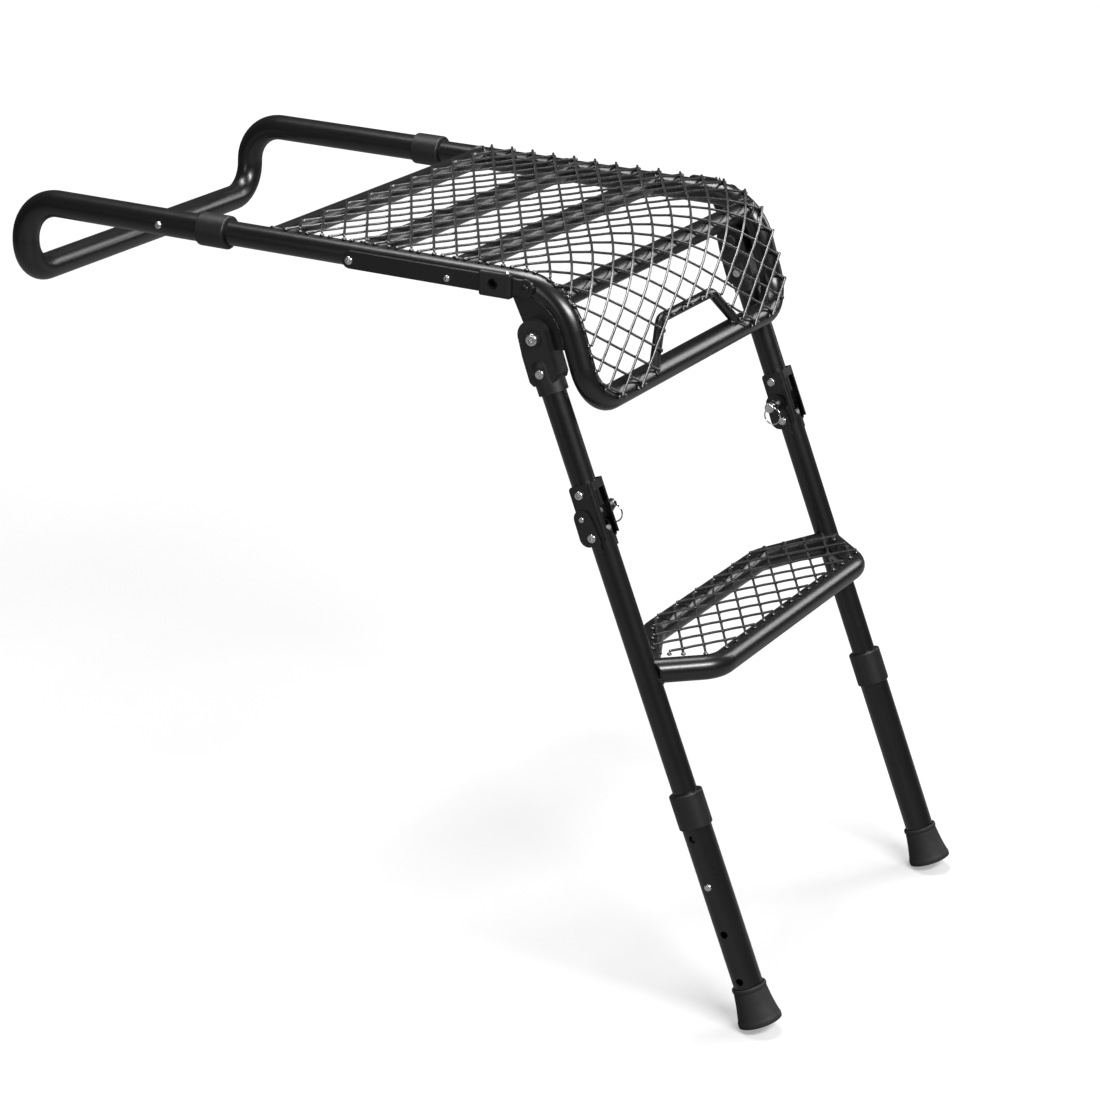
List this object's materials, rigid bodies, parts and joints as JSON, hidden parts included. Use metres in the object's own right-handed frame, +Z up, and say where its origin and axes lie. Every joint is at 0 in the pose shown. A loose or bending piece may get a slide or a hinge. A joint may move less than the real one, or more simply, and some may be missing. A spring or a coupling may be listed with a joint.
{
  "type": "tyre mounted folding step",
  "caption": "Folding vehicle step: a wire-mesh platform with arms that hook over a tyre, on telescoping legs with a lower step ring.",
  "frame": {"origin": "on the ground, under the middle of the object", "axes": "+X across to the right of a person who faces the vehicle, +Y towards the vehicle, +Z up"},
  "size_m": [0.49, 0.9386, 0.7573],
  "materials": {
    "frame_coating": "satin black powder coat",
    "mesh_coating": "satin black powder coat on wire",
    "black_plastic": "fine-grained moulding",
    "tip_rubber": "matt",
    "zinc_steel": "bright zinc plate",
    "ring_chrome": "bright",
    "spring_steel": "oiled"
  },
  "bodies": {
    "platform": {"platform_frame": "frame_coating", "rear_cross_tube": "frame_coating", "middle_cross_tubes": "frame_coating", "nose_cross_tube": "frame_coating", "hand_hold_rod": "frame_coating", "platform_mesh_lower_wires": "mesh_coating", "platform_mesh_upper_wires": "mesh_coating", "gusset_plate_left": "frame_coating", "gusset_plate_right": "frame_coating", "pivot_bolts": "zinc_steel", "pivot_nuts": "black_plastic", "pivot_washers": "frame_coating", "eye_screws": "frame_coating", "side_bar_left": "frame_coating", "side_bar_right": "frame_coating", "bar_block_left": "black_plastic", "bar_block_right": "black_plastic", "side_bar_screws": "zinc_steel", "arm_button_springs": "spring_steel"},
    "upper_legs": {"leg_socket_left": "black_plastic", "leg_socket_right": "black_plastic", "upper_leg_tube_left": "frame_coating", "upper_leg_tube_right": "frame_coating", "socket_rivets": "zinc_steel", "upper_hinge_bracket_left": "frame_coating", "upper_hinge_bracket_right": "frame_coating", "upper_bracket_screws": "zinc_steel"},
    "ladder": {"lower_leg_tube_left": "frame_coating", "lower_leg_tube_right": "frame_coating", "lower_hinge_bracket_left": "frame_coating", "lower_hinge_bracket_right": "frame_coating", "hinge_bolts": "zinc_steel", "lock_rivets": "zinc_steel", "plunger_boss_left": "frame_coating", "plunger_boss_right": "frame_coating", "plunger_spring_left": "spring_steel", "plunger_spring_right": "spring_steel", "step_ring": "frame_coating", "step_mesh_lower_wires": "mesh_coating", "step_mesh_upper_wires": "mesh_coating", "tube_end_glides": "black_plastic", "leg_button_springs": "spring_steel"},
    "hook_frame": {"hook_frame_tube": "frame_coating", "arm_collar_left": "black_plastic", "arm_collar_right": "black_plastic"},
    "left_foot": {"foot_sleeve_left": "frame_coating", "leg_collar_left": "black_plastic", "rubber_tip_left": "tip_rubber"},
    "left_foot_button": {"leg_snap_button_left": "zinc_steel"},
    "left_plunger": {"lock_plunger_left": "zinc_steel"},
    "left_ring": {"pull_ring_left": "ring_chrome"},
    "left_arm_button": {"arm_snap_button_left": "zinc_steel"},
    "right_foot": {"foot_sleeve_right": "frame_coating", "leg_collar_right": "black_plastic", "rubber_tip_right": "tip_rubber"},
    "right_foot_button": {"leg_snap_button_right": "zinc_steel"},
    "right_plunger": {"lock_plunger_right": "zinc_steel"},
    "right_ring": {"pull_ring_right": "ring_chrome"},
    "right_arm_button": {"arm_snap_button_right": "zinc_steel"}
  },
  "joints": [
    {"name": "leg_fold", "type": "hinge", "parent": "platform", "child": "upper_legs", "pos_m": [0, -0.1762, 0.68931], "axis": [1, 0, 0], "range_deg": [0, 90]},
    {"name": "ladder_fold", "type": "hinge", "parent": "upper_legs", "child": "ladder", "pos_m": [0, -0.24974, 0.49759], "axis": [-1, 0, 0], "range_deg": [-120, 0]},
    {"name": "hook_slide", "type": "slide", "parent": "platform", "child": "hook_frame", "axis": [0, 1, 0], "range_m": [-0.035, 0.05]},
    {"name": "left_foot_slide", "type": "slide", "parent": "ladder", "child": "left_foot", "axis": [0, -0.3762, -0.9265], "range_m": [-0.104, 0.052]},
    {"name": "left_foot_button_press", "type": "slide", "parent": "left_foot", "child": "left_foot_button", "axis": [1, 0, 0], "range_m": [0, 0.0035]},
    {"name": "left_plunger_pull", "type": "slide", "parent": "ladder", "child": "left_plunger", "axis": [1, 0, 0], "range_m": [0, 0.006], "deforming": ["plunger_spring_left"]},
    {"name": "left_ring_swing", "type": "hinge", "parent": "left_plunger", "child": "left_ring", "pos_m": [-0.1859, -0.2421, 0.5164], "axis": [0, 0.9265, -0.3762], "range_deg": [-90, 30]},
    {"name": "left_arm_button_press", "type": "slide", "parent": "hook_frame", "child": "left_arm_button", "axis": [1, 0, 0], "range_m": [0, 0.0035]},
    {"name": "right_foot_slide", "type": "slide", "parent": "ladder", "child": "right_foot", "axis": [0, -0.3762, -0.9265], "range_m": [-0.104, 0.052]},
    {"name": "right_foot_button_press", "type": "slide", "parent": "right_foot", "child": "right_foot_button", "axis": [-1, 0, 0], "range_m": [0, 0.0035]},
    {"name": "right_plunger_pull", "type": "slide", "parent": "ladder", "child": "right_plunger", "axis": [-1, 0, 0], "range_m": [0, 0.006], "deforming": ["plunger_spring_right"]},
    {"name": "right_ring_swing", "type": "hinge", "parent": "right_plunger", "child": "right_ring", "pos_m": [0.1859, -0.2421, 0.5164], "axis": [0, -0.9265, 0.3762], "range_deg": [-90, 30]},
    {"name": "right_arm_button_press", "type": "slide", "parent": "hook_frame", "child": "right_arm_button", "axis": [-1, 0, 0], "range_m": [0, 0.0035]}
  ]
}
